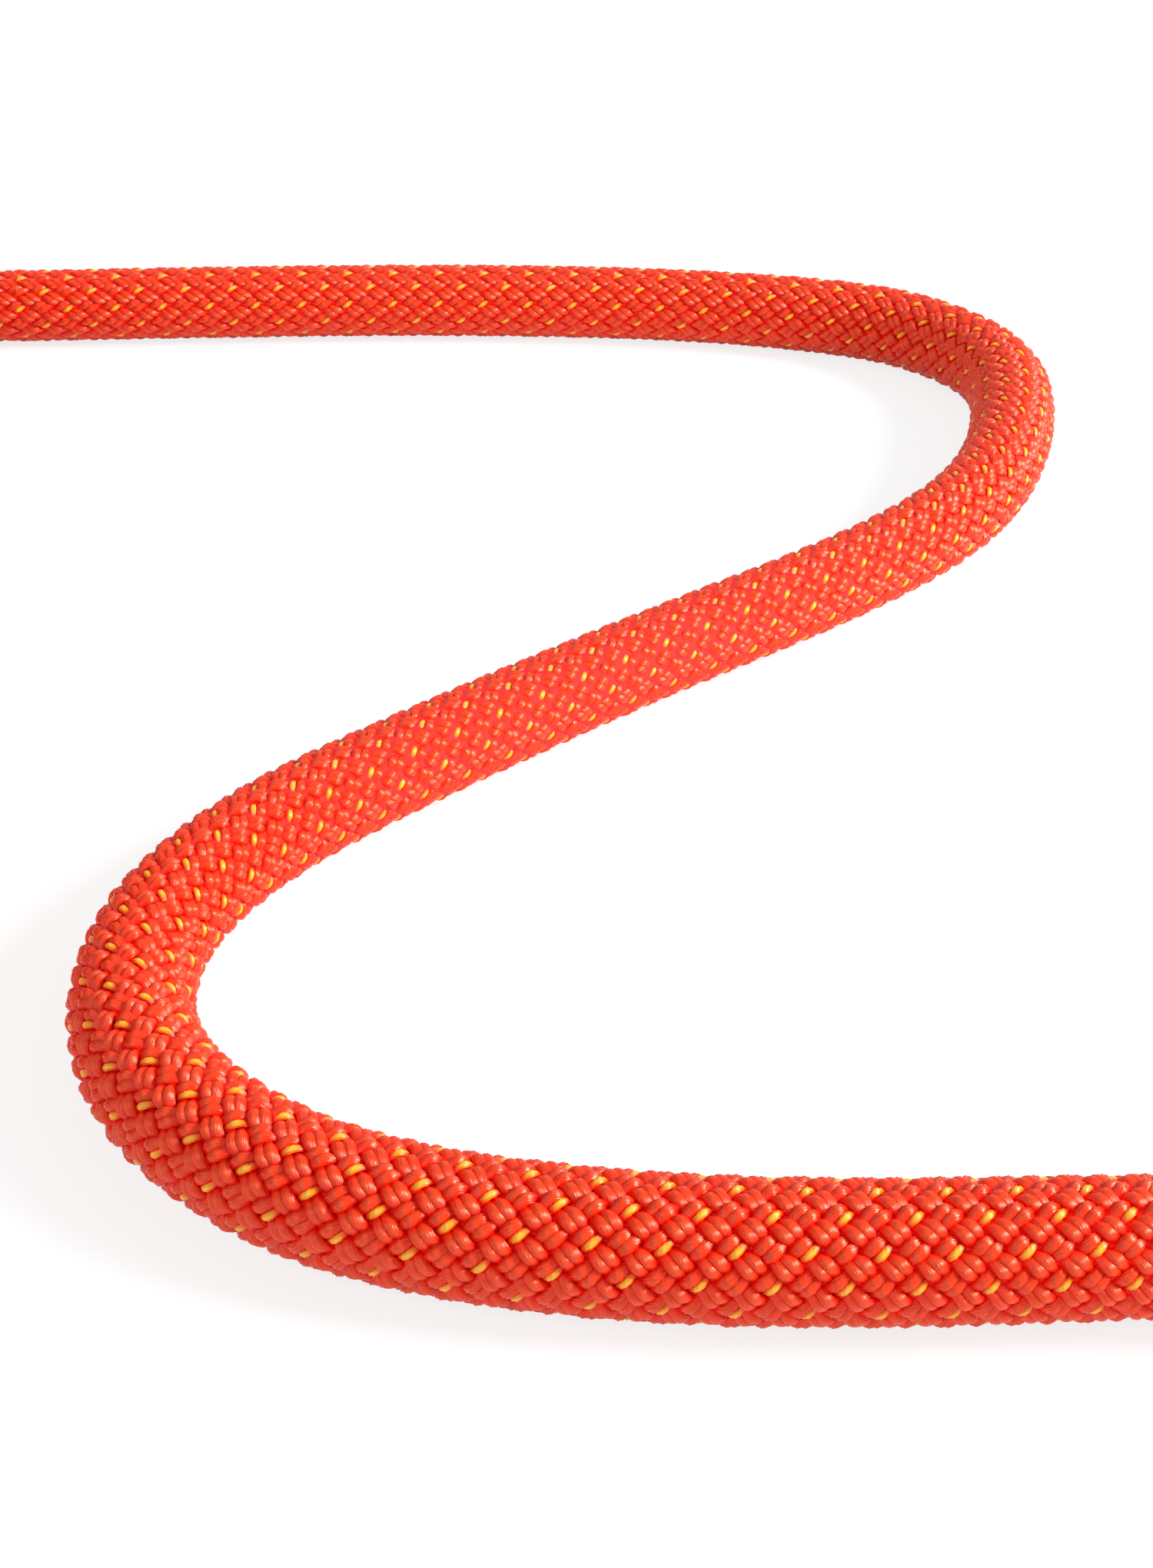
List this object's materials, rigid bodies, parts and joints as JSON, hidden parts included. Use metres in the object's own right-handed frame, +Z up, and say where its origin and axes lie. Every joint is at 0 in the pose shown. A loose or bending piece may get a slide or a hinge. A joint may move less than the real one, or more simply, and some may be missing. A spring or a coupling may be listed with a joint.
{
  "type": "dynamic climbing rope",
  "caption": "Dynamic kernmantle climbing rope: braided sheath over core strands, sleeved ends, spare length in a tied round coil with a loose S-shaped run.",
  "frame": {"origin": "middle of the coil, on the surface that the rope lies on", "axes": "+Z up along the coil's axis, +X from the coil towards the rope's front end"},
  "size_m": [0.3337, 0.2028, 0.0458],
  "materials": {
    "sheath": "braided polyamide yarn, coral red with yellow tracer yarns",
    "core": "twisted polyamide strand, white",
    "seal": "yarn ends melted together",
    "sleeve": "shrunk polyolefin sleeve, dark grey",
    "tie": "woven polyamide tape, dark grey"
  },
  "bodies": {
    "root": {"sheath_run": "sheath", "sheath_coil": "sheath", "core_strand_run_1": "core", "core_strand_run_2": "core", "core_strand_run_3": "core", "core_strand_run_4": "core", "core_strand_run_5": "core", "core_strand_run_6": "core", "core_strand_run_7": "core", "core_strand_coil_1": "core", "core_strand_coil_2": "core", "core_strand_coil_3": "core", "core_strand_coil_4": "core", "core_strand_coil_5": "core", "core_strand_coil_6": "core", "core_strand_coil_7": "core", "end_seal_front": "seal", "end_seal_back": "seal", "end_sleeve_front": "sleeve", "end_sleeve_back": "sleeve", "coil_tie_1": "tie", "coil_tie_2": "tie", "coil_tie_3": "tie"}
  },
  "joints": []
}
